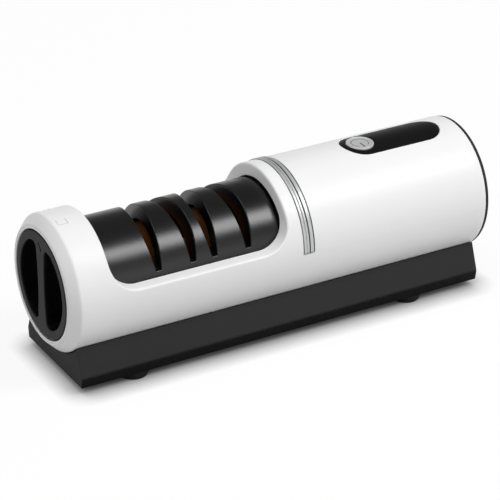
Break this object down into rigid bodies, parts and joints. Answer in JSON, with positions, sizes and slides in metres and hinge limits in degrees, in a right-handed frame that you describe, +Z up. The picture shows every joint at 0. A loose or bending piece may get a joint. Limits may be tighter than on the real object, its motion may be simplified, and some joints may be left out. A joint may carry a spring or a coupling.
{
  "type": "electric knife sharpener",
  "caption": "Barrel-shaped electric knife sharpener on a low base, with slotted guide over grinding wheels, end dial, chrome band and top power button.",
  "frame": {"origin": "middle of the whole part in plan, on the surface that the feet stand on", "axes": "+X along the barrel from the dial to the motor end, +Z up, -Y the side seen in the picture"},
  "size_m": [0.24, 0.071, 0.0841],
  "materials": {
    "white_shell": "satin",
    "dial_grey": "matte",
    "satin_black": "satin",
    "charcoal": "matte",
    "gloss_black": "gloss",
    "chrome_trim": "polished",
    "silver_button": "satin",
    "abrasive": "diamond-coated, grainy",
    "steel": "machined",
    "zinc": "plated",
    "copper": "machined",
    "ferrite": "matte",
    "grey_nylon": "matte",
    "board_green": "satin",
    "rubber": "matte"
  },
  "bodies": {
    "housing": {"barrel_shell": "white_shell", "end_cap": "satin_black", "power_socket": "gloss_black", "chrome_band": "chrome_trim", "control_window": "gloss_black", "switch_board": "board_green", "tact_switch": "ferrite", "cassette_front": "grey_nylon", "cassette_bed": "grey_nylon", "guide_cover": "satin_black", "detent_spring": "steel", "front_bearing": "steel", "rear_bearing": "steel", "motor_mount": "zinc", "motor_can": "steel", "motor_end_bell": "grey_nylon", "magnet_near": "ferrite", "magnet_far": "ferrite", "mount_screw_upper": "steel", "mount_screw_lower": "steel", "base_housing": "charcoal", "base_plate": "charcoal", "base_screw_near_left": "steel", "base_screw_near_right": "steel", "base_screw_far_left": "steel", "base_screw_far_right": "steel", "barrel_screw_left": "steel", "barrel_screw_right": "steel", "foot_near_left": "rubber", "foot_near_right": "rubber", "foot_far_left": "rubber", "foot_far_right": "rubber", "button_spring": "steel"},
    "dial": {"dial": "dial_grey", "dial_spindle": "steel", "latch_cam": "zinc"},
    "bolt_near": {"latch_bolt_near": "steel"},
    "bolt_far": {"latch_bolt_far": "steel"},
    "rotor": {"wheel_shaft": "steel", "coarse_wheel_left": "abrasive", "coarse_wheel_right": "abrasive", "fine_wheel_left": "abrasive", "fine_wheel_right": "abrasive", "front_spacer": "zinc", "coarse_spacer": "zinc", "centre_spacer": "zinc", "fine_spacer": "zinc", "rear_spacer": "zinc", "wheel_coupling": "grey_nylon", "motor_coupling": "grey_nylon", "motor_shaft": "steel", "armature": "ferrite", "commutator": "copper"},
    "button": {"power_button": "silver_button"}
  },
  "joints": [
    {"name": "dial_turn", "type": "hinge", "parent": "housing", "child": "dial", "pos_m": [-0.12, 0, 0.0486], "axis": [1, 0, 0], "range_deg": [-25, 9]},
    {"name": "bolt_near_slide", "type": "slide", "parent": "housing", "child": "bolt_near", "axis": [0, -1, 0], "range_m": [-0.00175, 0.00063]},
    {"name": "bolt_far_slide", "type": "slide", "parent": "housing", "child": "bolt_far", "axis": [0, 1, 0], "range_m": [-0.00175, 0.00063]},
    {"name": "wheel_spin", "type": "hinge", "parent": "housing", "child": "rotor", "pos_m": [0, 0, 0.0486], "axis": [1, 0, 0], "continuous": true},
    {"name": "power_press", "type": "slide", "parent": "housing", "child": "button", "axis": [0, 0, -1], "range_m": [0, 0.0012], "stiffness_N_per_m": 1500, "springref_m": -0.0008, "deforming": ["button_spring"]}
  ],
  "couplings": [
    {"joint": "bolt_near_slide", "follows": "dial_turn", "m_per_rad": 0.004},
    {"joint": "bolt_far_slide", "follows": "dial_turn", "m_per_rad": 0.004}
  ]
}
